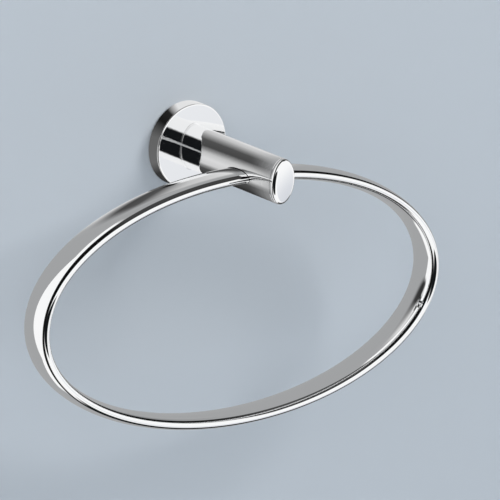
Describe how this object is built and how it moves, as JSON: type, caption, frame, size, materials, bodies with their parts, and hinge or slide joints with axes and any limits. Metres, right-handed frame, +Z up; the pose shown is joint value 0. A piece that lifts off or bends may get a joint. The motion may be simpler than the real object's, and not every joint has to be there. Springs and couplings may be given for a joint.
{
  "type": "towel ring",
  "caption": "Wall mounted towel ring in polished chrome: round wall plate, straight oval post with a crowned end cap, and a wide elliptical ring of oval bar that holds a hand towel.",
  "frame": {"origin": "centre of the wall plate on the wall surface", "axes": "+X to the right as seen from the room, +Y into the wall, +Z up"},
  "size_m": [0.265, 0.0838, 0.1598],
  "materials": {
    "chrome": "polished chrome plating",
    "bracket": "satin zinc plating",
    "screw_steel": "bright stainless steel"
  },
  "bodies": {
    "root": {"wall_bracket": "bracket", "wall_plate": "chrome", "plate_set_screw": "screw_steel", "post": "chrome", "post_washer": "screw_steel", "post_screw": "screw_steel", "ring": "chrome", "ring_set_screw": "screw_steel", "end_cap": "chrome"}
  },
  "joints": []
}
